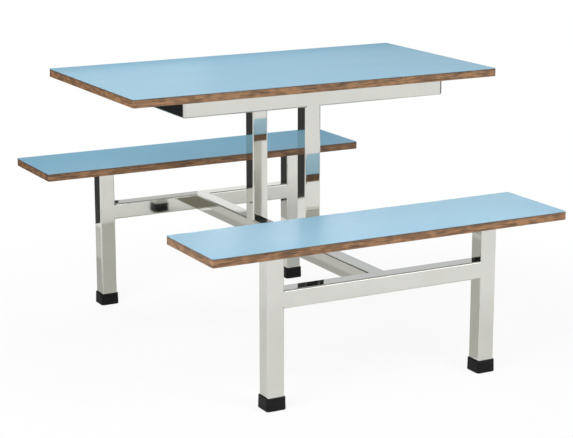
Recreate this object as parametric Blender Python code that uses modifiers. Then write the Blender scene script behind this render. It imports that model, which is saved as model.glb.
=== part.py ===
"""Canteen table with two fixed benches: laminated boards on a welded frame of square steel tube.

Metres, +Z up. +X runs along the table and +Y from the front bench to the rear one. The origin
lies on the floor, under the middle of the table top.
"""

import math

import bmesh
import bpy
from mathutils import Matrix

# Boards
TABLE_LENGTH = 1.060
TABLE_WIDTH = 0.564
TABLE_HEIGHT = 0.750
BENCH_LENGTH = 1.000
BENCH_WIDTH = 0.255
SEAT_HEIGHT = 0.435
BOARD_THICKNESS = 0.022
LAMINATE_THICKNESS = 0.0012
BOARD_CORNER_RADIUS = 0.005

# Steel frame
BENCH_SPACING = 1.044
TABLE_OVERHANG = 0.143
BENCH_OVERHANG = 0.168
COLUMN_SPACING = 0.300
FRAME_SHIFT = 0.028
TOP_FRAME_SHIFT = 0.013
STRETCHER_TOP = 0.302
RAIL_HEIGHT = 0.058
TUBE_SIZE = 0.046
TUBE_WALL = 0.0015
TUBE_CORNER_RADIUS = 0.004

# Foot caps
CAP_HEIGHT = 0.033
CAP_WALL = 0.0032
CAP_FLARE = 0.0008
CAP_EDGE_RADIUS = 0.001

# Plates and lugs that the boards are screwed to
PLATE_THICKNESS = 0.004
SEAT_PLATE_LENGTH = 0.120
SEAT_PLATE_WIDTH = 0.090
SEAT_PLATE_CORNER_RADIUS = 0.006
LUG_END_DISTANCE = 0.127
LUG_WIDTH = 0.040
LUG_REACH = 0.032
SCREW_HOLE_RADIUS = 0.0025
SCREW_EDGE_DISTANCE = 0.012

# Fits
SEAT_GAP = 0.0003
CAP_CLEARANCE = 0.0003

# Facets
CORNER_STEPS = 4
HOLE_STEPS = 12
SMOOTH_ANGLE = math.radians(40)

# Spacings and levels worked out from the sizes above
TOP_FRAME_LENGTH = TABLE_LENGTH - 2 * TABLE_OVERHANG
TOP_FRAME_WIDTH = COLUMN_SPACING + TUBE_SIZE
LEG_SPACING = BENCH_LENGTH - 2 * BENCH_OVERHANG - TUBE_SIZE
TABLE_UNDERSIDE = TABLE_HEIGHT - BOARD_THICKNESS
SEAT_UNDERSIDE = SEAT_HEIGHT - BOARD_THICKNESS
RAIL_TOP = TABLE_UNDERSIDE - SEAT_GAP
RAIL_BOTTOM = RAIL_TOP - RAIL_HEIGHT
STRETCHER_LEVEL = STRETCHER_TOP - TUBE_SIZE / 2
SEAT_PLATE_TOP = SEAT_UNDERSIDE - SEAT_GAP
LEG_TOP = SEAT_PLATE_TOP - PLATE_THICKNESS - SEAT_GAP
LEG_BOTTOM = CAP_WALL + CAP_CLEARANCE

QUARTER_TURN = math.pi / 2
SIDES_Y = {"front": -1, "rear": 1}
SIDES_X = {"left": -1, "right": 1}


def arc(center, radius, start, turn, steps):
    """Points along an arc, both ends included."""
    angles = [start + turn * step / steps for step in range(steps + 1)]
    return [(center[0] + radius * math.cos(a), center[1] + radius * math.sin(a)) for a in angles]


def rounded_rectangle(length, width, radius):
    """Outline of a rectangle about the origin, with four round corners."""
    points = []
    for corner, (side_x, side_y) in enumerate(((1, 1), (-1, 1), (-1, -1), (1, -1))):
        center = (side_x * (length / 2 - radius), side_y * (width / 2 - radius))
        points += arc(center, radius, corner * QUARTER_TURN, QUARTER_TURN, CORNER_STEPS)
    return points


def screw_hole(x, y):
    """Outline of one screw hole."""
    return arc((x, y), SCREW_HOLE_RADIUS, 0, 2 * math.pi, HOLE_STEPS)[:-1]


def extruded(name, outlines, depth):
    """Mesh of a flat outline, with holes where it has more than one loop, centred on its depth."""
    curve = bpy.data.curves.new(name, "CURVE")
    curve.dimensions = "2D"
    curve.fill_mode = "BOTH"
    curve.extrude = depth / 2
    for outline in outlines:
        spline = curve.splines.new("POLY")
        spline.points.add(len(outline) - 1)
        spline.use_cyclic_u = True
        for point, (x, y) in zip(spline.points, outline):
            point.co = (x, y, 0, 1)
    guide = bpy.data.objects.new(name, curve)
    bpy.context.scene.collection.objects.link(guide)
    graph = bpy.context.evaluated_depsgraph_get()
    mesh = bpy.data.meshes.new_from_object(guide.evaluated_get(graph))
    bpy.data.objects.remove(guide)
    bpy.data.curves.remove(curve)
    weld_caps(mesh)
    mesh.name = name
    return mesh


def weld_caps(mesh):
    """Joins an extrusion's loose caps to its sides and turns its faces outwards."""
    work = bmesh.new()
    work.from_mesh(mesh)
    bmesh.ops.remove_doubles(work, verts=work.verts, dist=1e-6)
    bmesh.ops.recalc_face_normals(work, faces=work.faces)
    work.to_mesh(mesh)
    work.free()


def tube_mesh(name, length, height):
    """Open square or rectangular tube along X, with its side walls facing Y."""
    inner_radius = TUBE_CORNER_RADIUS - TUBE_WALL
    section = [
        rounded_rectangle(height, TUBE_SIZE, TUBE_CORNER_RADIUS),
        rounded_rectangle(height - 2 * TUBE_WALL, TUBE_SIZE - 2 * TUBE_WALL, inner_radius),
    ]
    mesh = extruded(name, section, length)
    mesh.transform(Matrix.Rotation(QUARTER_TURN, 4, "Y"))
    return mesh


def mitre_ends(mesh):
    """Shears both ends of a tube to 45 degrees, longest along its -Y side."""
    for vertex in mesh.vertices:
        cut = vertex.co.y + TUBE_SIZE / 2
        vertex.co.x -= math.copysign(cut, vertex.co.x)


def empty(name, parent, location):
    """Empty that carries a group of pieces."""
    holder = bpy.data.objects.new(name, None)
    holder.parent = parent
    holder.location = location
    parts.objects.link(holder)
    return holder


def piece(name, mesh, material, parent, location, rotation=(0, 0, 0)):
    """One named piece of the set."""
    mesh.materials.clear()
    mesh.materials.append(material)
    mesh.shade_smooth()
    mesh.set_sharp_from_angle(angle=SMOOTH_ANGLE)
    made = bpy.data.objects.new(name, mesh)
    made.parent = parent
    made.location = location
    made.rotation_euler = rotation
    parts.objects.link(made)
    return made


def finish(name, color, roughness, metallic):
    """Principled material of one finish."""
    made = bpy.data.materials.new(name)
    made.use_nodes = True
    shader = made.node_tree.nodes["Principled BSDF"]
    shader.inputs["Base Color"].default_value = (*color, 1)
    shader.inputs["Roughness"].default_value = roughness
    shader.inputs["Metallic"].default_value = metallic
    return made


def board(name, length, width, top, y):
    """Plywood core and the laminate sheet glued on it."""
    outline = rounded_rectangle(length, width, BOARD_CORNER_RADIUS)
    core_thickness = BOARD_THICKNESS - LAMINATE_THICKNESS - SEAT_GAP
    core_level = top - BOARD_THICKNESS + core_thickness / 2
    core = extruded(f"{name}_core", [outline], core_thickness)
    piece(f"{name}_core", core, plywood, boards, (0, y, core_level))
    sheet = extruded(f"{name}_laminate", [outline], LAMINATE_THICKNESS)
    piece(f"{name}_laminate", sheet, laminate, boards, (0, y, top - LAMINATE_THICKNESS / 2))


def top_frame():
    """Four mitred rails under the table, the long ones flush with the columns."""
    trim = math.sqrt(2) * SEAT_GAP
    side_distance = (TOP_FRAME_LENGTH - TUBE_SIZE) / 2
    rails = {
        "front": (TOP_FRAME_LENGTH, (TOP_FRAME_SHIFT, -COLUMN_SPACING / 2), 0),
        "right": (TOP_FRAME_WIDTH, (TOP_FRAME_SHIFT + side_distance, 0), 1),
        "rear": (TOP_FRAME_LENGTH, (TOP_FRAME_SHIFT, COLUMN_SPACING / 2), 2),
        "left": (TOP_FRAME_WIDTH, (TOP_FRAME_SHIFT - side_distance, 0), 3),
    }
    for side, (length, (x, y), quarter_turns) in rails.items():
        mesh = tube_mesh(f"top_rail_{side}", length - trim, RAIL_HEIGHT)
        mitre_ends(mesh)
        turn = (0, 0, quarter_turns * QUARTER_TURN)
        piece(f"top_rail_{side}", mesh, steel, frame, (x, y, RAIL_TOP - RAIL_HEIGHT / 2), turn)


def columns():
    """Two upright tubes from the cross beam to the top frame."""
    bottom = STRETCHER_TOP + SEAT_GAP
    top = RAIL_BOTTOM - SEAT_GAP
    for side, sign in SIDES_Y.items():
        mesh = tube_mesh(f"column_{side}", top - bottom, TUBE_SIZE)
        place = (0, sign * COLUMN_SPACING / 2, (top + bottom) / 2)
        piece(f"column_{side}", mesh, steel, frame, place, (0, QUARTER_TURN, 0))


def cross_beam():
    """Tube from one bench's stretcher to the other's."""
    mesh = tube_mesh("cross_beam", BENCH_SPACING - TUBE_SIZE - 2 * SEAT_GAP, TUBE_SIZE)
    piece("cross_beam", mesh, steel, frame, (0, 0, STRETCHER_LEVEL), (0, 0, QUARTER_TURN))


def bench_frame(side, sign):
    """Legs, stretcher, foot caps and seat plates under one bench."""
    y = sign * BENCH_SPACING / 2
    stretcher = tube_mesh(f"stretcher_{side}", LEG_SPACING - TUBE_SIZE - 2 * SEAT_GAP, TUBE_SIZE)
    piece(f"stretcher_{side}", stretcher, steel, frame, (0, y, STRETCHER_LEVEL))
    for end, direction in SIDES_X.items():
        x = direction * LEG_SPACING / 2
        leg = tube_mesh(f"leg_{side}_{end}", LEG_TOP - LEG_BOTTOM, TUBE_SIZE)
        leg_place = (x, y, (LEG_TOP + LEG_BOTTOM) / 2)
        piece(f"leg_{side}_{end}", leg, steel, frame, leg_place, (0, QUARTER_TURN, 0))
        foot_cap(f"foot_cap_{side}_{end}", x, y)
        seat_plate(f"seat_plate_{side}_{end}", x, y)


def square_block(name, width, radius, height):
    """Upright block with round corners, each of its flat ends one face."""
    mesh = extruded(name, [rounded_rectangle(width, width, radius)], height)
    work = bmesh.new()
    work.from_mesh(mesh)
    bmesh.ops.dissolve_limit(work, angle_limit=1e-3, verts=work.verts, edges=work.edges)
    work.to_mesh(mesh)
    work.free()
    return mesh


def foot_cap(name, x, y):
    """Moulded sleeve with a closed floor and a flared foot, pushed over the lower end of a leg."""
    cavity = TUBE_SIZE + 2 * CAP_CLEARANCE
    cavity_radius = TUBE_CORNER_RADIUS + CAP_CLEARANCE
    width = cavity + 2 * CAP_WALL
    mesh = square_block(name, width, cavity_radius + CAP_WALL, CAP_HEIGHT)
    flare = 1 + 2 * CAP_FLARE / width
    for vertex in mesh.vertices:
        if vertex.co.z < 0:
            vertex.co.x *= flare
            vertex.co.y *= flare
    cap = piece(name, mesh, plastic, frame, (x, y, CAP_HEIGHT / 2))
    socket_name = f"{name}_socket"
    socket_mesh = square_block(socket_name, cavity, cavity_radius, CAP_HEIGHT)
    socket = bpy.data.objects.new(socket_name, socket_mesh)
    socket.parent = cap
    socket.location = (0, 0, CAP_WALL)
    socket.hide_render = True
    socket.display_type = "WIRE"
    cutters.objects.link(socket)
    hollow = cap.modifiers.new("socket", "BOOLEAN")
    hollow.object = socket
    edges = cap.modifiers.new("rounded edges", "BEVEL")
    edges.width = CAP_EDGE_RADIUS
    edges.segments = 2
    edges.limit_method = "ANGLE"
    edges.angle_limit = math.radians(60)


def seat_plate(name, x, y):
    """Flat plate on a leg's top, with a screw hole in each corner."""
    hole_x = SEAT_PLATE_LENGTH / 2 - SCREW_EDGE_DISTANCE
    hole_y = SEAT_PLATE_WIDTH / 2 - SCREW_EDGE_DISTANCE
    outlines = [rounded_rectangle(SEAT_PLATE_LENGTH, SEAT_PLATE_WIDTH, SEAT_PLATE_CORNER_RADIUS)]
    outlines += [screw_hole(sx * hole_x, sy * hole_y) for sx in (-1, 1) for sy in (-1, 1)]
    mesh = extruded(name, outlines, PLATE_THICKNESS)
    piece(name, mesh, steel, frame, (x, y, SEAT_PLATE_TOP - PLATE_THICKNESS / 2))


def fixing_lugs():
    """Tabs with a round end on the long rails' inner walls, flush with the rails' tops."""
    inner_wall = (COLUMN_SPACING - TUBE_SIZE) / 2 - SEAT_GAP
    level = RAIL_TOP - PLATE_THICKNESS / 2
    shoulder = LUG_REACH - LUG_WIDTH / 2
    outline = [(LUG_WIDTH / 2, 0)]
    outline += arc((0, shoulder), LUG_WIDTH / 2, 0, math.pi, 2 * CORNER_STEPS)
    outline += [(-LUG_WIDTH / 2, 0)]
    hole = screw_hole(0, LUG_REACH - SCREW_EDGE_DISTANCE)
    x = TOP_FRAME_LENGTH / 2 - LUG_END_DISTANCE
    for side, sign in SIDES_Y.items():
        for end, direction in SIDES_X.items():
            name = f"fixing_lug_{side}_{end}"
            place = (TOP_FRAME_SHIFT + direction * x, sign * inner_wall, level)
            turn = (0, 0, math.pi if sign > 0 else 0)
            piece(name, extruded(name, [outline, hole], PLATE_THICKNESS), steel, frame, place, turn)


for existing in list(bpy.data.objects):
    bpy.data.objects.remove(existing)

parts = bpy.data.collections.new("canteen_table_set")
bpy.context.scene.collection.children.link(parts)
cutters = bpy.data.collections.new("cutters")
bpy.context.scene.collection.children.link(cutters)

steel = finish("polished_steel", (0.80, 0.79, 0.76), 0.08, 1)
plywood = finish("lacquered_plywood", (0.36, 0.17, 0.07), 0.45, 0)
laminate = finish("blue_laminate", (0.38, 0.60, 0.78), 0.35, 0)
plastic = finish("black_plastic", (0.015, 0.015, 0.016), 0.5, 0)

boards = empty("boards", None, (0, 0, 0))
frame = empty("steel_frame", boards, (FRAME_SHIFT, 0, 0))

board("table", TABLE_LENGTH, TABLE_WIDTH, TABLE_HEIGHT, 0)
top_frame()
fixing_lugs()
columns()
cross_beam()
for bench_side, bench_sign in SIDES_Y.items():
    board(f"bench_{bench_side}", BENCH_LENGTH, BENCH_WIDTH, SEAT_HEIGHT, bench_sign * BENCH_SPACING / 2)
    bench_frame(bench_side, bench_sign)
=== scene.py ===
"""Looks of a canteen table set: mirror-polished tube frame, blue laminated boards, black foot caps."""

import math

import bmesh
import bpy
from mathutils import Matrix, Vector

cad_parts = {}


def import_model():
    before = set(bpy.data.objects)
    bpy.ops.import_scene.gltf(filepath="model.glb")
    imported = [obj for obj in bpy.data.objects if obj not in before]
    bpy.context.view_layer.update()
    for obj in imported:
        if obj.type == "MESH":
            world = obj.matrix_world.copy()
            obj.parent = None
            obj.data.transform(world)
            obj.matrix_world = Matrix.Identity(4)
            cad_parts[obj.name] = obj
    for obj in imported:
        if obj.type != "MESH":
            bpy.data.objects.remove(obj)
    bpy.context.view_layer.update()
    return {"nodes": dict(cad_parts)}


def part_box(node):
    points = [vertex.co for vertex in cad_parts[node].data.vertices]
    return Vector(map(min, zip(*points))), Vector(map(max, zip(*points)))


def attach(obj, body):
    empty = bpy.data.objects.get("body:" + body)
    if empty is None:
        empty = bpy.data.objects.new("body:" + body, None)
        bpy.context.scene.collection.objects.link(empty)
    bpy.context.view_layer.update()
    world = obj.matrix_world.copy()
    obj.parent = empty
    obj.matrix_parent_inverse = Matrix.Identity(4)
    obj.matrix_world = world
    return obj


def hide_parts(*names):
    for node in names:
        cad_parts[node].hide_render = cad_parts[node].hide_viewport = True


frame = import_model()

# Camera, worked out from the photograph's frame of 573 by 438 pixels
IMAGE_WIDTH = 573
FOCAL_LENGTH_PIXELS = 1744.1
SENSOR_WIDTH = 36
CAMERA_PLACE = (-2.175, -4.1055, 1.4616)
CAMERA_TURN = 0.4951
CAMERA_DIP = 0.2382

# Sizes of the finer shapes, in metres
TUBE_CORNER_RADIUS = 0.004
TUBE_WALL = 0.0015
BOARD_CORNER_RADIUS = 0.005
CORE_EASING = 0.0012
LAMINATE_EASING = 0.0008
CAP_FLOOR = 0.0032
CAP_FLARE = 0.0008
CAP_FOOT_RADIUS = 0.0018
CAP_LIP_RADIUS = 0.0009
SEAM_RADIUS = 0.0036
SEAM_INSET = 0.0030
SCREW_HEAD_RADIUS = 0.0044
SCREW_HEAD_HEIGHT = 0.0026
SCREW_SLOT_LENGTH = 1.1 * SCREW_HEAD_RADIUS
SCREW_SLOT_WIDTH = 0.0011
SCREW_EDGE_DISTANCE = 0.012
FIT_GAP = 0.0003
MERGE_DISTANCE = 1e-6

# Facets, counts and shading of the finer shapes
CORNER_STEPS = 10
EASING_STEPS = 3
SHEET_EASING_STEPS = 2
SEAM_FACETS = 24
SCREW_FACETS = 24
SCREW_RINGS = 12
SCREW_TURN_SEED = 4
PLY_COUNT = 8
LOFT_SHARP_ANGLE = math.radians(50)
SEAM_SHARP_ANGLE = math.radians(40)
SCREW_SHARP_ANGLE = math.radians(35)
SHEET_FACE_SLOPE = 0.2

# Colours, as linear values
STEEL_BRIGHT = (0.70, 0.70, 0.655, 1)
STEEL_DULL = (0.63, 0.63, 0.585, 1)
PLATE_BRIGHT = (0.56, 0.555, 0.54, 1)
PLATE_DULL = (0.46, 0.455, 0.44, 1)
# Painted shade and dark reflection of the top frame's front right corner seam
CORNER_SHADE_DARK = (0.07, 0.07, 0.075, 1)
CORNER_SHADE_GREY = (0.14, 0.14, 0.145, 1)
BLUE_FULL = (0.214, 0.430, 0.577, 1)
BLUE_PALE = (0.245, 0.463, 0.607, 1)
SHEET_EDGE_DARK = (0.045, 0.028, 0.020, 1)
SHEET_EDGE_PALE = (0.081, 0.0504, 0.036, 1)
PLY_LIGHT = (0.39, 0.205, 0.095, 1)
PLY_DARK = (0.145, 0.073, 0.032, 1)
PLY_STREAK = (0.055, 0.028, 0.014, 1)
BACKING_LIGHT = (0.62, 0.63, 0.65, 1)
BACKING_DARK = (0.54, 0.55, 0.57, 1)
CAP_BLACK = (0.0035, 0.0035, 0.0040, 1)
CAP_GREY = (0.0090, 0.0090, 0.0095, 1)
ZINC_BRIGHT = (0.62, 0.61, 0.58, 1)
ZINC_DULL = (0.45, 0.44, 0.41, 1)
WHITE = (1, 1, 1, 1)
FLOOR_WHITE = (0.88, 0.88, 0.87, 1)
FLAG_GREY = (0.055, 0.055, 0.057, 1)
FLAG_BLACK = (0.022, 0.024, 0.027, 1)
FLAG_PALE = (0.64, 0.64, 0.64, 1)
FLAG_SKY = (0.68, 0.695, 0.72, 1)
# Glow of the panels: painted sheen on the boards, seen only in reflections; the low panel is a dim grey
PANEL_LEFT = (1.7, 1.7, 1.7, 1)
PANEL_MIDDLE = (1.25, 1.25, 1.25, 1)
PANEL_RIGHT = (1.15, 1.15, 1.15, 1)
PANEL_LOW = (0.40, 0.40, 0.40, 1)
PANEL_BENCH_LEFT = (20.0, 20.0, 20.0, 1)
PANEL_BENCH_RIGHT = (8.0, 8.0, 8.0, 1)
PANEL_FRONT = (4.4, 4.4, 4.4, 1)
# Tones of the cards that paint shadowed floor into the reflections
CARD_OLIVE = (0.33, 0.32, 0.26, 1)
CARD_GREY = (0.50, 0.50, 0.48, 1)
CARD_MID = (0.57, 0.565, 0.53, 1)
CARD_PALE = (0.67, 0.67, 0.65, 1)

# Axes, sides and turns
X, Y, Z = range(3)
SIDES_Y = {"front": -1, "rear": 1}
SIDES_X = {"left": -1, "right": 1}
QUARTER_TURN = math.pi / 2

# Floor and fill light; the shadow clears between the two distances from the set's middle
FLOOR_REACH = 30
SHADOW_SHARE = 0.13
SHADOW_REACH = (0.7, 1.5)
FILL_LEVEL = 0.35

# Soft boxes: place, target, side, power and spread
LAMPS = {
    "left_box": ((-2.05, -1.3, 1.6), (0, -0.5, 0.43), 1.5, 45, math.pi),
    "front_box": ((0.5, -1.7, 1.6), (0.25, -0.55, 0.43), 0.9, 4.2, math.radians(80)),
    "rear_box": ((0.0, 1.3, 1.5), (0.05, 0.50, 0.43), 1.0, 13, math.pi),
}

# Flags, panels and cards: axis they lie across, place on it, spans along the other two axes, tone
REAR_PLACE = 1.45
BENCH_PANEL_PLACE = 2.5
TABLE_PANEL_PLACE = 0.30
FRONT_PLACE = -3.4
FLOOR_CARD_PLACE = 0.002
FLAGS = {
    "flag_rear_far_left": (Y, REAR_PLACE, (-1.9, -1.0), (0.0, 1.3), FLAG_BLACK),
    "flag_rear_left": (Y, REAR_PLACE, (-1.0, -0.66), (0.0, 1.3), FLAG_GREY),
    "flag_rear_middle": (Y, REAR_PLACE, (-0.66, -0.45), (0.06, 1.3), FLAG_GREY),
    "flag_rear_low": (Y, REAR_PLACE, (-0.45, 0.15), (0.0, 0.55), FLAG_GREY),
    "flag_rear_bench": (Y, 0.68, (-0.6, 0.9), (0.43, 0.56), FLAG_GREY),
    "flag_rear_right_low": (Y, REAR_PLACE, (0.15, 0.46), (0.50, 0.62), FLAG_PALE),
    "flag_rear_right_high": (Y, REAR_PLACE, (0.15, 1.6), (0.62, 0.868), FLAG_PALE),
    # Glowing panels far behind the set: painted sheen on the front bench
    "panel_bench_left": (Y, BENCH_PANEL_PLACE, (0.9, 1.68), (1.09, 1.38), PANEL_BENCH_LEFT),
    "panel_bench_right": (Y, BENCH_PANEL_PLACE, (1.68, 2.9), (1.09, 1.38), PANEL_BENCH_RIGHT),
    "flag_stretcher": (Y, 0.36, (0.12, 0.98), (0.455, 0.626), FLAG_SKY),
    # Panels over the table: painted sheen on the table top, dim along its far part and brighter to the
    # left
    "panel_table_low": (Y, TABLE_PANEL_PLACE, (-0.7, 1.1), (0.752, 0.785), PANEL_LOW),
    "panel_table_left": (Y, TABLE_PANEL_PLACE, (-0.7, -0.05), (0.785, 1.4), PANEL_LEFT),
    "panel_table_middle": (Y, TABLE_PANEL_PLACE, (-0.05, 0.45), (0.785, 1.4), PANEL_MIDDLE),
    "panel_table_right": (Y, TABLE_PANEL_PLACE, (0.45, 1.1), (0.785, 1.4), PANEL_RIGHT),
    # Glowing panel in front: painted sheen on the front bench where the column fronts mirror it
    "panel_front": (Y, -3.42, (0.9, 3.0), (0.45, 1.0), PANEL_FRONT),
    "flag_front_right": (Y, FRONT_PLACE, (1.72, 2.05), (1.2, 1.56), FLAG_BLACK),
    "flag_front_high": (Y, FRONT_PLACE, (-1.9, 1.72), (1.3, 1.56), FLAG_BLACK),
    "flag_left_high": (X, -1.9, (-3.4, 1.45), (0.85, 1.2), FLAG_BLACK),
    "card_column": (Y, -0.11, (0.058, 0.098), (0.36, 0.53), FLAG_BLACK),
    "flag_right": (X, 3.0, (-3.0, 1.5), (0.0, 1.8), FLAG_GREY),
    # Olive card and floor cards: painted floor shadow, seen only in reflections
    "card_upright": (Y, -0.08, (-0.42, -0.20), (0.09, 0.155), CARD_OLIVE),
    "card_under_table": (Z, FLOOR_CARD_PLACE, (-0.29, 0.33), (-0.44, 0.46), CARD_MID),
    "card_behind": (Z, FLOOR_CARD_PLACE, (-0.50, -0.05), (0.40, 1.44), CARD_GREY),
    "card_behind_left": (Z, FLOOR_CARD_PLACE, (-0.66, -0.50), (0.40, 1.75), CARD_PALE),
}


class Wire:
    """Node socket that takes part in arithmetic: each operation adds a Math node."""

    def __init__(self, nodes, socket):
        self.nodes = nodes
        self.socket = socket

    def __add__(self, other):
        return self.nodes.math("ADD", self, other)

    def __radd__(self, other):
        return self.nodes.math("ADD", other, self)

    def __sub__(self, other):
        return self.nodes.math("SUBTRACT", self, other)

    def __rsub__(self, other):
        return self.nodes.math("SUBTRACT", other, self)

    def __mul__(self, other):
        return self.nodes.math("MULTIPLY", self, other)

    def __rmul__(self, other):
        return self.nodes.math("MULTIPLY", other, self)

    def __truediv__(self, other):
        return self.nodes.math("DIVIDE", self, other)

    def __rtruediv__(self, other):
        return self.nodes.math("DIVIDE", other, self)


class Nodes:
    """One node tree, shader or geometry, and the calls that add to it."""

    def __init__(self, tree):
        self.tree = tree

    def add(self, kind, settings=None, sockets=None, output=0):
        """Adds a node with its settings, then sets or links its sockets; gives one of its outputs."""
        made = self.tree.nodes.new(kind)
        for key, value in (settings or {}).items():
            setattr(made, key, value)
        for key, value in (sockets or {}).items():
            self.join(value, made.inputs[key])
        return Wire(self, made.outputs[output]) if made.outputs else None

    def join(self, value, socket):
        """Links a wire, or a list of them, to a socket, or sets the socket's own value."""
        if isinstance(value, Wire):
            self.tree.links.new(value.socket, socket)
        elif socket.is_multi_input:
            for wire in value:
                self.join(wire, socket)
        else:
            socket.default_value = value

    def math(self, operation, *values):
        """Math node on wires and numbers."""
        return self.add("ShaderNodeMath", {"operation": operation}, dict(enumerate(values)))

    def ramp(self, value, low, high):
        """Smooth step from 0 at low to 1 at high."""
        settings = {"interpolation_type": "SMOOTHSTEP"}
        return self.add("ShaderNodeMapRange", settings, {0: value, 1: low, 2: high})

    def mix(self, factor, first, second):
        """Mix of two colours."""
        sockets = {0: factor, 6: first, 7: second}
        return self.add("ShaderNodeMix", {"data_type": "RGBA"}, sockets, 2)

    def axes(self, vector):
        """The three numbers of a vector."""
        return [self.add("ShaderNodeSeparateXYZ", None, {0: vector}, axis) for axis in (X, Y, Z)]


class Finish(Nodes):
    """Material under construction."""

    def __init__(self, name):
        self.material = bpy.data.materials.new(name)
        self.material.use_nodes = True
        super().__init__(self.material.node_tree)
        self.shader = self.tree.nodes["Principled BSDF"]
        self.place = self.add("ShaderNodeTexCoord", output="Object")

    def noise(self, scale, detail=2.0, shift=0.0):
        """Noise from 0 to 1; scale is in waves per metre along X, Y and Z."""
        sockets = {"Vector": self.place, "Scale": scale, "Location": (shift, shift, shift)}
        place = self.add("ShaderNodeMapping", None, sockets)
        return self.add("ShaderNodeTexNoise", None, {"Vector": place, "Scale": 1.0, "Detail": detail})

    def bump(self, height, distance):
        """Normal of a fine relief, as deep as distance where height is 1."""
        sockets = {"Height": height, "Distance": distance, "Strength": 1.0}
        return self.add("ShaderNodeBump", None, sockets)

    def surface(self, sockets):
        """Sets or links the shader's sockets and gives the finished material."""
        for key, value in sockets.items():
            self.join(value, self.shader.inputs[key])
        return self.material

    def glow(self, share, color):
        """Lays an even glow over the surface, by a share from 0 to 1."""
        light = self.add("ShaderNodeEmission", None, {"Color": color, "Strength": 1.0})
        sockets = {0: share, 1: Wire(self, self.shader.outputs[0]), 2: light}
        mixed = self.add("ShaderNodeMixShader", None, sockets)
        self.join(mixed, self.tree.nodes["Material Output"].inputs["Surface"])
        return self.material


def polished_steel(name, along):
    """Mirror-polished stainless steel: slight waves, lines along the tube, faint hand marks."""
    steel = Finish(name)
    line_scale = [700.0] * 3
    line_scale[along] = 6.0
    lines = steel.noise(line_scale, detail=2.0)
    marks = steel.noise((16.0, 16.0, 16.0), detail=4.0, shift=3.1)
    waves = steel.noise((22.0, 22.0, 22.0), detail=0.0, shift=7.7)
    color = steel.mix(marks, STEEL_DULL, STEEL_BRIGHT)
    rough = 0.015 + 0.03 * marks + 0.02 * lines
    relief = waves + 0.01 * lines
    sockets = {"Base Color": color, "Metallic": 1.0, "Roughness": rough}
    sockets["Normal"] = steel.bump(relief, distance=0.00004)
    return steel.surface(sockets)


def plate_steel():
    """Brushed flat steel of the seat plates and lugs."""
    plate = Finish("brushed_plate_steel")
    lines = plate.noise((14.0, 1100.0, 1100.0), detail=3.0)
    marks = plate.noise((45.0, 45.0, 45.0), detail=3.0, shift=2.3)
    color = plate.mix(marks, PLATE_DULL, PLATE_BRIGHT)
    rough = 0.26 + 0.16 * lines + 0.08 * marks
    sockets = {"Base Color": color, "Metallic": 1.0, "Roughness": rough}
    sockets["Normal"] = plate.bump(lines, distance=0.00003)
    return plate.surface(sockets)


def dark_weld():
    """Painted shade: a dark, faintly mottled line that stands in for the shade and dark reflection at
    the top frame's front right corner.
    """
    shade_line = Finish("dark_weld")
    shade_mottle = shade_line.noise((300.0, 300.0, 500.0), detail=3.0)
    sockets = {"Base Color": shade_line.mix(shade_mottle, CORNER_SHADE_DARK, CORNER_SHADE_GREY), "Metallic": 1.0}
    sockets["Roughness"] = 0.35 + 0.2 * shade_mottle
    return shade_line.surface(sockets)


def blue_laminate():
    """Satin decorative laminate: fine orange-peel relief, faint mottling and rubbed patches."""
    blue = Finish("blue_laminate")
    clouds = blue.noise((5.0, 9.0, 5.0), detail=3.0)
    specks = blue.noise((900.0, 900.0, 900.0), detail=1.0, shift=4.4)
    rubbed = blue.noise((11.0, 26.0, 11.0), detail=5.0, shift=9.2)
    color = blue.mix(0.65 * clouds + 0.35 * specks, BLUE_FULL, BLUE_PALE)
    rough = 0.38 + 0.10 * rubbed + 0.04 * specks
    sockets = {"Base Color": color, "Roughness": rough, "Specular IOR Level": 0.22}
    sockets["Normal"] = blue.bump(specks, distance=0.00002)
    return blue.surface(sockets)


def laminate_edge():
    """Dark resin core that shows along the laminate's trimmed edge."""
    edge = Finish("laminate_edge")
    streaks = edge.noise((60.0, 60.0, 4000.0), detail=2.0)
    color = edge.mix(streaks, SHEET_EDGE_DARK, SHEET_EDGE_PALE)
    return edge.surface({"Base Color": color, "Roughness": 0.45 + 0.15 * streaks})


def plywood(name, underside, thickness):
    """Lacquered plywood edge: plies, mottled grain, darker bands along its top and bottom; a pale
    backing sheet below.
    """
    wood = Finish(name)
    height = (wood.axes(wood.place)[Z] - underside) / thickness
    wander = wood.noise((28.0, 28.0, 60.0), detail=2.0, shift=1.7)
    ply = wood.ramp(wood.math("PINGPONG", PLY_COUNT * (height + 0.055 * wander), 1.0), 0.25, 0.75)
    streaks = wood.noise((20.0, 20.0, 280.0), detail=4.0, shift=5.3)
    patches = wood.noise((34.0, 34.0, 70.0), detail=2.0, shift=8.8)
    pores = wood.noise((1300.0, 1300.0, 500.0), detail=2.0, shift=6.1)
    edge = wood.mix(0.4 * ply + 0.6 * wood.ramp(patches, 0.36, 0.64), PLY_DARK, PLY_LIGHT)
    edge = wood.mix(0.8 * wood.ramp(streaks, 0.50, 0.66), edge, PLY_STREAK)
    # Darker bands along the top and bottom of the edge
    rim = wood.ramp(wood.math("ABSOLUTE", height - 0.45), 0.28, 0.5)
    edge = wood.mix(0.55 * rim, edge, PLY_STREAK)
    edge = wood.mix(0.35 * wood.ramp(pores, 0.55, 0.8), edge, PLY_STREAK)
    clouds = wood.noise((30.0, 30.0, 30.0), detail=4.0, shift=2.9)
    backing = wood.mix(clouds, BACKING_DARK, BACKING_LIGHT)
    normal = wood.add("ShaderNodeNewGeometry", output="Normal")
    facing_down = -1 * wood.axes(normal)[Z]
    color = wood.mix(wood.ramp(facing_down, 0.75, 0.95), edge, backing)
    rough = 0.38 + 0.18 * streaks + 0.08 * pores
    relief = 0.6 * streaks + 0.4 * pores
    sockets = {"Base Color": color, "Roughness": rough, "Coat Weight": 0.15, "Coat Roughness": 0.25}
    sockets["Normal"] = wood.bump(relief, distance=0.00015)
    return wood.surface(sockets)


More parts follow.
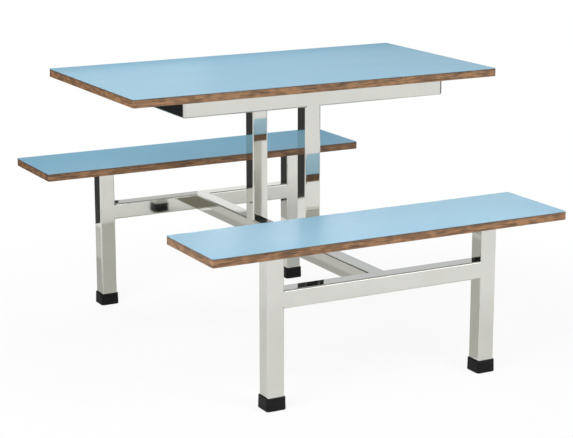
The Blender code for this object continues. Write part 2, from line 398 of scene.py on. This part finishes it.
def cap_plastic():
    """Black moulded plastic with a fine spark-eroded grain and scuffs."""
    plastic = Finish("black_cap_plastic")
    grain = plastic.noise((1500.0, 1500.0, 1500.0), detail=2.0)
    scuffs = plastic.noise((90.0, 90.0, 240.0), detail=4.0, shift=3.6)
    worn = plastic.ramp(scuffs, 0.5, 0.78)
    sockets = {"Base Color": plastic.mix(worn, CAP_BLACK, CAP_GREY)}
    sockets["Roughness"] = 0.42 + 0.16 * scuffs + 0.08 * grain
    sockets["Specular IOR Level"] = 0.2
    sockets["Normal"] = plastic.bump(grain, distance=0.00004)
    return plastic.surface(sockets)


def screw_zinc():
    """Zinc-plated screws, a little cloudy."""
    zinc = Finish("zinc_plated_screws")
    clouds = zinc.noise((420.0, 420.0, 420.0), detail=3.0)
    sockets = {"Base Color": zinc.mix(clouds, ZINC_DULL, ZINC_BRIGHT), "Metallic": 1.0}
    sockets["Roughness"] = 0.2 + 0.25 * clouds
    return zinc.surface(sockets)


def placed(name, data):
    """New object in the scene."""
    made = bpy.data.objects.new(name, data)
    bpy.context.scene.collection.objects.link(made)
    return made


def evaluated(carrier):
    """Plain mesh that an object's modifiers make; the object itself is removed."""
    graph = bpy.context.evaluated_depsgraph_get()
    made = bpy.data.meshes.new_from_object(carrier.evaluated_get(graph))
    bpy.data.objects.remove(carrier)
    return made


class Shape(Nodes):
    """Geometry tree under construction, with named inputs."""

    def __init__(self, name, inputs):
        tree = bpy.data.node_groups.new(name, "GeometryNodeTree")
        super().__init__(tree)
        tree.interface.new_socket("Geometry", in_out="OUTPUT", socket_type="NodeSocketGeometry")
        kinds = {"Points": "NodeSocketGeometry", "Finish": "NodeSocketMaterial"}
        self.keys = {}
        for key in inputs:
            kind = kinds.get(key, "NodeSocketFloat")
            socket = tree.interface.new_socket(key, in_out="INPUT", socket_type=kind)
            self.keys[key] = socket.identifier
        self.inputs = {key: self.add("NodeGroupInput", output=key) for key in inputs}

    def point(self, x, y, z):
        """Vector of three values."""
        return self.add("ShaderNodeCombineXYZ", None, {0: x, 1: y, 2: z})

    def sweep(self, start, end, profile, capped):
        """Profile drawn along a straight line."""
        line = self.add("GeometryNodeCurvePrimitiveLine", None, {"Start": start, "End": end})
        sockets = {"Curve": line, "Profile Curve": profile, "Fill Caps": capped}
        return self.add("GeometryNodeCurveToMesh", None, sockets)

    def close(self, shape):
        """Ends the tree: real geometry in the given finish."""
        real = self.add("GeometryNodeRealizeInstances", None, {0: shape})
        sockets = {"Geometry": real, "Material": self.inputs["Finish"]}
        dressed = self.add("GeometryNodeSetMaterial", None, sockets)
        self.add("NodeGroupOutput", None, {0: dressed})
        return self

    def mesh(self, name, values, points=None):
        """Plain mesh that the tree makes from the given input values."""
        carrier = placed(name, points or bpy.data.meshes.new(name))
        modifier = carrier.modifiers.new(name, "NODES")
        modifier.node_group = self.tree
        for key, value in values.items():
            modifier[self.keys[key]] = value
        made = evaluated(carrier)
        made.name = name
        return made


def tube_shape():
    """Tree of a rectangular tube's outer skin along X, its ends cut square or to 45 degrees."""
    names = ("Length", "Height", "Width", "Corner Radius", "Mitre", "Finish")
    tube = Shape("square_tube", names)
    length, height, width, radius, mitre, _ = (tube.inputs[name] for name in names)
    sockets = {"Width": width, "Height": height}
    section = tube.add("GeometryNodeCurvePrimitiveQuadrilateral", None, sockets)
    sockets = {"Curve": section, "Radius": radius, "Count": CORNER_STEPS}
    section = tube.add("GeometryNodeFilletCurve", {"mode": "POLY"}, sockets)
    start = tube.point(-0.5 * length, 0, 0)
    end = tube.point(0.5 * length, 0, 0)
    skin = tube.sweep(start, end, section, False)
    x, y, _ = tube.axes(tube.add("GeometryNodeInputPosition"))
    cut = mitre * tube.math("SIGN", x) * (y + 0.5 * width)
    sockets = {"Geometry": skin, "Offset": tube.point(-1.0 * cut, 0, 0)}
    skin = tube.add("GeometryNodeSetPosition", None, sockets)
    return tube.close(skin)


def with_modifiers(mesh, *steps):
    """Mesh after modifiers, each given as its type and its settings."""
    carrier = placed(mesh.name, mesh)
    for kind, settings in steps:
        modifier = carrier.modifiers.new(kind, kind)
        for key, value in settings.items():
            setattr(modifier, key, value)
    return evaluated(carrier)


def outward(mesh):
    """Merges doubles and turns every face outwards."""
    work = bmesh.new()
    work.from_mesh(mesh)
    bmesh.ops.remove_doubles(work, verts=work.verts, dist=MERGE_DISTANCE)
    bmesh.ops.recalc_face_normals(work, faces=work.faces)
    work.to_mesh(mesh)
    work.free()
    return mesh


def piece(name, mesh, materials, slot, *nodes):
    """Finished piece that rides on the set and stands for the CAD nodes given, if any."""
    mesh.materials.clear()
    for material in materials:
        mesh.materials.append(material)
    made = placed(name, mesh)
    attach(made, "root")
    if nodes:
        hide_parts(*nodes)


def polished_tube(node, along, quarter_turns=0, mitred=False):
    """Polished tube in place of a CAD tube; square ends are drawn out to close the fit."""
    low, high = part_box(node)
    size = high - low
    width = size[Y] if along == X else size[X]
    height = size[Y] if along == Z else size[Z]
    length = size[along] if mitred else size[along] + 2 * FIT_GAP
    values = {"Length": length, "Height": height, "Width": width}
    values |= {"Corner Radius": TUBE_CORNER_RADIUS, "Mitre": float(mitred), "Finish": steels[along]}
    mesh = outward(tube_tree.mesh(node, values))
    mesh.shade_smooth()
    wall = {"thickness": TUBE_WALL, "offset": -1, "use_even_offset": True}
    mesh = with_modifiers(mesh, ("SOLIDIFY", wall), ("WEIGHTED_NORMAL", {"keep_sharp": True}))
    turn = Matrix.Rotation(quarter_turns * QUARTER_TURN, 4, "Z")
    if along == Z:
        turn = Matrix.Rotation(QUARTER_TURN, 4, "Y")
    mesh.transform(Matrix.Translation((low + high) / 2) @ turn)
    piece(f"{node}_polished", mesh, [steels[along]], "steel", node)


def steel_frame():
    """All tubes of the welded frame."""
    for turns, side in enumerate(("front", "right", "rear", "left")):
        along = X if side in SIDES_Y else Y
        polished_tube(f"top_rail_{side}", along, turns, mitred=True)
    polished_tube("cross_beam", Y, 1)
    for side in SIDES_Y:
        polished_tube(f"column_{side}", Z)
        polished_tube(f"stretcher_{side}", X)
        for end in SIDES_X:
            polished_tube(f"leg_{side}_{end}", Z)


def rounded_outline(length, width, radius):
    """Outline of a rectangle about the origin with round corners."""
    points = []
    for corner, (side_x, side_y) in enumerate(((1, 1), (-1, 1), (-1, -1), (1, -1))):
        for step in range(CORNER_STEPS + 1):
            angle = (corner + step / CORNER_STEPS) * QUARTER_TURN
            x = side_x * (length / 2 - radius) + radius * math.cos(angle)
            y = side_y * (width / 2 - radius) + radius * math.sin(angle)
            points.append((x, y))
    return points


def loft(name, loops):
    """Closed mesh through loops of equal count, with its first and last loop filled."""
    work = bmesh.new()
    rings = [[work.verts.new(point) for point in loop] for loop in loops]
    for lower, upper in zip(rings, rings[1:]):
        for index in range(len(lower)):
            nearby = (index + 1) % len(lower)
            work.faces.new((lower[index], lower[nearby], upper[nearby], upper[index]))
    work.faces.new(reversed(rings[0]))
    work.faces.new(rings[-1])
    bmesh.ops.recalc_face_normals(work, faces=work.faces)
    mesh = bpy.data.meshes.new(name)
    work.to_mesh(mesh)
    work.free()
    mesh.shade_smooth()
    mesh.set_sharp_from_angle(angle=LOFT_SHARP_ANGLE)
    return with_modifiers(mesh, ("WEIGHTED_NORMAL", {"keep_sharp": True}))


def level_loop(length, width, radius, z, center):
    """Rounded outline at one height."""
    return [(center[X] + x, center[Y] + y, z) for x, y in rounded_outline(length, width, radius)]


def eased(inset_from, easing, z, rise, steps=EASING_STEPS):
    """Insets and heights along a quarter-round edge, from a flat face up (rise 1) or down (rise -1)."""
    path = []
    for step in range(steps + 1):
        turn = QUARTER_TURN * step / steps
        inset = inset_from + easing * (1 - math.sin(turn))
        path.append((inset, z + rise * easing * (1 - math.cos(turn))))
    return path


def board(name):
    """Plywood core with eased lower edges, and the laminate sheet with its trimmed rim."""
    low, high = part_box(f"{name}_core")
    ply = plywood(f"lacquered_plywood_{name}", low[Z], high[Z] - low[Z])
    sheet_low, sheet_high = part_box(f"{name}_laminate")
    size = high - low
    center = (low + high) / 2
    radius = BOARD_CORNER_RADIUS

    def loop(inset, z):
        return level_loop(size[X] - 2 * inset, size[Y] - 2 * inset, radius - inset, z, center)

    core = [loop(inset, z) for inset, z in eased(0, CORE_EASING, low[Z], 1)]
    core.append(loop(0, sheet_low[Z]))
    piece(f"{name}_core_lacquered", loft(f"{name}_core", core), [ply], "plywood", f"{name}_core")
    rim = eased(0, LAMINATE_EASING, sheet_high[Z], -1, SHEET_EASING_STEPS)
    sheet = [loop(0, sheet_low[Z])] + [loop(inset, z) for inset, z in reversed(rim)]
    mesh = loft(f"{name}_laminate", sheet)
    for face in mesh.polygons:
        face.material_index = 0 if face.normal.z > SHEET_FACE_SLOPE else 1
    finishes = [blue_finish, edge_finish]
    piece(f"{name}_laminate_sheet", mesh, finishes, "laminate", f"{name}_laminate")


def foot_cap(node):
    """Moulded sleeve: rounded foot, flared side, rounded lip and a closed floor inside."""
    low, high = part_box(node)
    leg_low, leg_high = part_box(node.replace("foot_cap", "leg"))
    center = (low + high) / 2
    width = high[X] - low[X]
    height = high[Z]
    cavity = (width - leg_high[X] + leg_low[X]) / 2 - FIT_GAP
    radius = TUBE_CORNER_RADIUS + FIT_GAP + cavity
    lip = height - CAP_LIP_RADIUS
    path = eased(0, CAP_FOOT_RADIUS, 0, 1)
    path += reversed(eased(CAP_FLARE, CAP_LIP_RADIUS, height, -1))
    path += [(cavity - CAP_LIP_RADIUS, height), (cavity, lip), (cavity, CAP_FLOOR)]
    loops = []
    for inset, z in path:
        side = width - 2 * inset
        loops.append(level_loop(side, side, radius - inset, z, center))
    piece(f"{node}_moulded", loft(node, loops), [cap_finish], "cap_plastic", node)


def points_mesh(name, places, turns=None):
    """Mesh of loose points, with a turn kept on each where turns are given."""
    mesh = bpy.data.meshes.new(name)
    mesh.from_pydata(places, [], [])
    if turns:
        kept = mesh.attributes.new("turn", "FLOAT_VECTOR", "POINT")
        for item, turn in zip(kept.data, turns):
            item.vector = turn
    return mesh


def joint_shape():
    """Tree of one dressed tube joint, set on every point that carries a turn.

    The joined tube runs up local Z. The tube that it stands on runs along local X, and its two round
    edges are filled flush with the joined tube's sides.
    """
    names = ("Points", "Tube Size", "Corner Radius", "Finish")
    dressed = Shape("dressed_joint", names)
    points, size, radius, _ = (dressed.inputs[name] for name in names)
    fills = []
    for sign in SIDES_Y.values():
        sockets = {"Size": dressed.point(size - 2.0 * radius, radius, radius)}
        cube = dressed.add("GeometryNodeMeshCube", None, sockets)
        place = dressed.point(0, sign * 0.5 * (size - radius), -0.5 * radius)
        sockets = {"Geometry": cube, "Translation": place}
        fills.append(dressed.add("GeometryNodeTransform", None, sockets))
    both = dressed.add("GeometryNodeJoinGeometry", None, {0: fills})
    settings = {"data_type": "FLOAT_VECTOR"}
    turn = dressed.add("GeometryNodeInputNamedAttribute", settings, {"Name": "turn"})
    sockets = {"Points": points, "Instance": both, "Rotation": turn}
    return dressed.close(dressed.add("GeometryNodeInstanceOnPoints", None, sockets))


def turn_to(z_axis, x_axis):
    """Euler angles that bring local Z and X to the given directions."""
    z_axis = Vector(z_axis)
    x_axis = Vector(x_axis)
    columns = Matrix((x_axis, z_axis.cross(x_axis), z_axis)).transposed()
    return columns.to_euler()


def dressed_joints():
    """Welds at every tube joint, ground flush and polished."""
    places = []
    turns = []

    def joint(place, z_axis, x_axis):
        places.append(place)
        turns.append(turn_to(z_axis, x_axis))

    beam_low, beam_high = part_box("cross_beam")
    beam = (beam_low + beam_high) / 2
    for side, sign in SIDES_Y.items():
        stretcher_low, stretcher_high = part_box(f"stretcher_{side}")
        stretcher = (stretcher_low + stretcher_high) / 2
        column_low, column_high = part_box(f"column_{side}")
        column = (column_low + column_high) / 2
        rail_low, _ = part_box(f"top_rail_{side}")
        inner_face = stretcher_high[Y] if sign < 0 else stretcher_low[Y]
        joint((beam[X], inner_face, beam[Z]), (0, -sign, 0), (1, 0, 0))
        joint((column[X], column[Y], beam_high[Z]), (0, 0, 1), (0, 1, 0))
        joint((column[X], column[Y], rail_low[Z]), (0, 0, -1), (1, 0, 0))
        for end, direction in SIDES_X.items():
            leg_low, leg_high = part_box(f"leg_{side}_{end}")
            face = leg_high[X] if direction < 0 else leg_low[X]
            joint((face, stretcher[Y], stretcher[Z]), (-direction, 0, 0), (0, 0, 1))
    values = {"Tube Size": beam_high[Z] - beam_low[Z], "Corner Radius": TUBE_CORNER_RADIUS}
    values |= {"Finish": steels[Z]}
    mesh = joint_shape().mesh("dressed_joints", values, points_mesh("joint_points", places, turns))
    piece("dressed_joints", outward(mesh), [steels[Z]], "steel")


def seam_shape():
    """Tree of an upright rounded seam, set on every point."""
    names = ("Points", "Height", "Radius", "Finish")
    seam = Shape("corner_seam", names)
    points, height, radius, _ = (seam.inputs[name] for name in names)
    sockets = {"Resolution": SEAM_FACETS, "Radius": radius}
    ring = seam.add("GeometryNodeCurvePrimitiveCircle", None, sockets)
    bead = seam.sweep(seam.point(0, 0, -0.5 * height), seam.point(0, 0, 0.5 * height), ring, True)
    sockets = {"Points": points, "Instance": bead}
    return seam.close(seam.add("GeometryNodeInstanceOnPoints", None, sockets))


def corner_seams():
    """Welded and rounded outer corners of the mitred top frame; the front right one carries a painted
    dark line for its shade and dark reflection.
    """
    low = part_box("top_rail_left")[0]
    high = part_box("top_rail_right")[1]
    z = (low[Z] + high[Z]) / 2
    left, right = low[X] + SEAM_INSET, high[X] - SEAM_INSET
    front, rear = low[Y] + SEAM_INSET, high[Y] - SEAM_INSET
    seams = {"corner_seams": (steels[Z], [(left, front, z), (left, rear, z), (right, rear, z)])}
    # The front right seam carries the painted dark line of shade and dark reflection
    seams["dark_corner_seam"] = (corner_shade_finish, [(right, front, z)])
    values = {"Height": high[Z] - low[Z] - 2 * TUBE_CORNER_RADIUS, "Radius": SEAM_RADIUS}
    shape = seam_shape()
    for name, (finish, places) in seams.items():
        points = points_mesh(f"{name}_points", places)
        mesh = outward(shape.mesh(name, values | {"Finish": finish}, points))
        mesh.shade_smooth()
        mesh.set_sharp_from_angle(angle=SEAM_SHARP_ANGLE)
        piece(name, mesh, [finish], "steel")


def screw_shape():
    """Tree of round-head cross-slot screws, heads down, one on every point, turned at random."""
    names = ("Points", "Head Radius", "Head Height", "Slot Length", "Slot Width", "Finish")
    screw = Shape("round_head_screw", names)
    points, radius, height, slot_length, slot_width, _ = (screw.inputs[name] for name in names)
    sockets = {"Segments": SCREW_FACETS, "Rings": SCREW_RINGS, "Radius": 1.0}
    ball = screw.add("GeometryNodeMeshUVSphere", None, sockets)
    sockets = {"Geometry": ball, "Scale": screw.point(radius, radius, height)}
    head = screw.add("GeometryNodeTransform", None, sockets)
    sockets = {"Size": screw.point(4 * radius, 4 * radius, 2 * height)}
    upper = screw.add("GeometryNodeMeshCube", None, sockets)
    sockets = {"Geometry": upper, "Translation": screw.point(0, 0, height)}
    cutters = [screw.add("GeometryNodeTransform", None, sockets)]
    for size_x, size_y in ((slot_length, slot_width), (slot_width, slot_length)):
        bar = screw.add("GeometryNodeMeshCube", None, {"Size": screw.point(size_x, size_y, height)})
        sockets = {"Geometry": bar, "Translation": screw.point(0, 0, -1.0 * height)}
        cutters.append(screw.add("GeometryNodeTransform", None, sockets))
    sockets = {0: head, 1: cutters}
    head = screw.add("GeometryNodeMeshBoolean", {"operation": "DIFFERENCE"}, sockets)
    sockets = {2: 0.0, 3: math.pi, "Seed": SCREW_TURN_SEED}
    spin = screw.add("FunctionNodeRandomValue", {"data_type": "FLOAT"}, sockets, 1)
    sockets = {"Points": points, "Instance": head, "Rotation": screw.point(0, 0, spin)}
    return screw.close(screw.add("GeometryNodeInstanceOnPoints", None, sockets))


def screws():
    """Screws through the seat plates and the fixing lugs, seen from below."""
    places = []
    for side, sign in SIDES_Y.items():
        for end in SIDES_X:
            low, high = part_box(f"seat_plate_{side}_{end}")
            for x in (low[X] + SCREW_EDGE_DISTANCE, high[X] - SCREW_EDGE_DISTANCE):
                for y in (low[Y] + SCREW_EDGE_DISTANCE, high[Y] - SCREW_EDGE_DISTANCE):
                    places.append((x, y, low[Z]))
            low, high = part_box(f"fixing_lug_{side}_{end}")
            tip = high[Y] if sign < 0 else low[Y]
            places.append(((low[X] + high[X]) / 2, tip + sign * SCREW_EDGE_DISTANCE, low[Z]))
    values = {"Head Radius": SCREW_HEAD_RADIUS, "Head Height": SCREW_HEAD_HEIGHT}
    values |= {"Slot Length": SCREW_SLOT_LENGTH, "Slot Width": SCREW_SLOT_WIDTH}
    values |= {"Finish": screw_finish}
    mesh = outward(screw_shape().mesh("screws", values, points_mesh("screw_points", places)))
    mesh.shade_smooth()
    mesh.set_sharp_from_angle(angle=SCREW_SHARP_ANGLE)
    piece("screws", mesh, [screw_finish], "plate_steel")


def dressed_plates():
    """Seat plates and lugs keep their CAD shape and get a brushed finish."""
    for side in SIDES_Y:
        for end in SIDES_X:
            for kind in ("seat_plate", "fixing_lug"):
                slots = frame["nodes"][f"{kind}_{side}_{end}"].data.materials
                slots.clear()
                slots.append(plate_finish)


def stage_plane(name, corners, material):
    """Flat piece of the studio."""
    mesh = bpy.data.meshes.new(name)
    mesh.from_pydata(corners, [], [range(len(corners))])
    mesh.materials.append(material)
    made = placed(name, mesh)
    return made


def ray_share(nodes, *kinds):
    """1 for rays of the given kinds, and 0 for all others."""
    share = 0.0
    for kind in kinds:
        rays = nodes.add("ShaderNodeLightPath", output=f"Is {kind} Ray")
        share = nodes.math("MAXIMUM", share, rays)
    return share


def floor():
    """White floor that keeps the set's soft shadow and clears to plain white further off."""
    white = Finish("studio_floor")
    white.surface({"Base Color": FLOOR_WHITE, "Roughness": 0.9, "Specular IOR Level": 0.0})
    x, y, _ = white.axes(white.place)
    clear = white.ramp(white.math("SQRT", x * x + y * y), *SHADOW_REACH)
    share = ray_share(white, "Camera") * (1 - SHADOW_SHARE * (1 - clear))
    share = share + ray_share(white, "Glossy", "Transmission") * clear
    reach = FLOOR_REACH
    corners = [(-reach, -reach, 0), (reach, -reach, 0), (reach, reach, 0), (-reach, reach, 0)]
    stage_plane("studio_floor", corners, white.glow(share, WHITE))


def flag(name, across, place, first_span, second_span, tone):
    """Flag, card or bright panel that shows only in reflections."""
    (first_low, first_high), (second_low, second_high) = first_span, second_span
    outline = [(first_low, second_low), (first_high, second_low)]
    outline += [(first_high, second_high), (first_low, second_high)]
    corners = [pair[:across] + (place,) + pair[across:] for pair in outline]
    material = Finish(name).glow(1.0, tone)
    material.cycles.emission_sampling = "NONE"
    made = stage_plane(name, corners, material)
    made.visible_camera = False
    made.visible_diffuse = False
    made.visible_shadow = False


def world():
    """White background for the camera and for reflections, with a plain level of fill light."""
    made = bpy.data.worlds.new("studio")
    made.use_nodes = True
    bpy.context.scene.world = made
    nodes = Nodes(made.node_tree)
    background = made.node_tree.nodes["Background"]
    background.inputs["Color"].default_value = WHITE
    shown = ray_share(nodes, "Camera", "Glossy", "Transmission")
    nodes.join(FILL_LEVEL + (1 - FILL_LEVEL) * shown, background.inputs["Strength"])


def lamp(name, place, target, size, power, spread):
    """Square soft box that doesn't show in the polished steel."""
    light = bpy.data.lights.new(name, "AREA")
    light.shape = "SQUARE"
    light.size = size
    light.energy = power
    light.spread = spread
    made = placed(name, light)
    made.location = place
    made.rotation_euler = (Vector(target) - Vector(place)).to_track_quat("-Z", "Y").to_euler()
    made.visible_glossy = False


def camera():
    """Camera at the photograph's place."""
    lens = bpy.data.cameras.new("camera")
    lens.sensor_fit = "HORIZONTAL"
    lens.sensor_width = SENSOR_WIDTH
    lens.lens = FOCAL_LENGTH_PIXELS * SENSOR_WIDTH / IMAGE_WIDTH
    made = placed("camera", lens)
    made.location = CAMERA_PLACE
    made.rotation_euler = (QUARTER_TURN - CAMERA_DIP, 0, -CAMERA_TURN)
    bpy.context.scene.camera = made


# Finishes, and the tree that all tubes share
steels = [polished_steel(f"polished_steel_{axis}", index) for index, axis in enumerate("xyz")]
plate_finish = plate_steel()
# Painted shade for the front right corner seam
corner_shade_finish = dark_weld()
blue_finish = blue_laminate()
edge_finish = laminate_edge()
cap_finish = cap_plastic()
screw_finish = screw_zinc()
tube_tree = tube_shape()

# The set
steel_frame()
dressed_joints()
corner_seams()
for board_name in ("table", "bench_front", "bench_rear"):
    board(board_name)
for bench_side in SIDES_Y:
    for bench_end in SIDES_X:
        foot_cap(f"foot_cap_{bench_side}_{bench_end}")
dressed_plates()
screws()

# The studio
floor()
for flag_name, flag_values in FLAGS.items():
    flag(flag_name, *flag_values)
world()
for lamp_name, lamp_values in LAMPS.items():
    lamp(lamp_name, *lamp_values)
camera()
bpy.context.scene.view_settings.view_transform = "Standard"
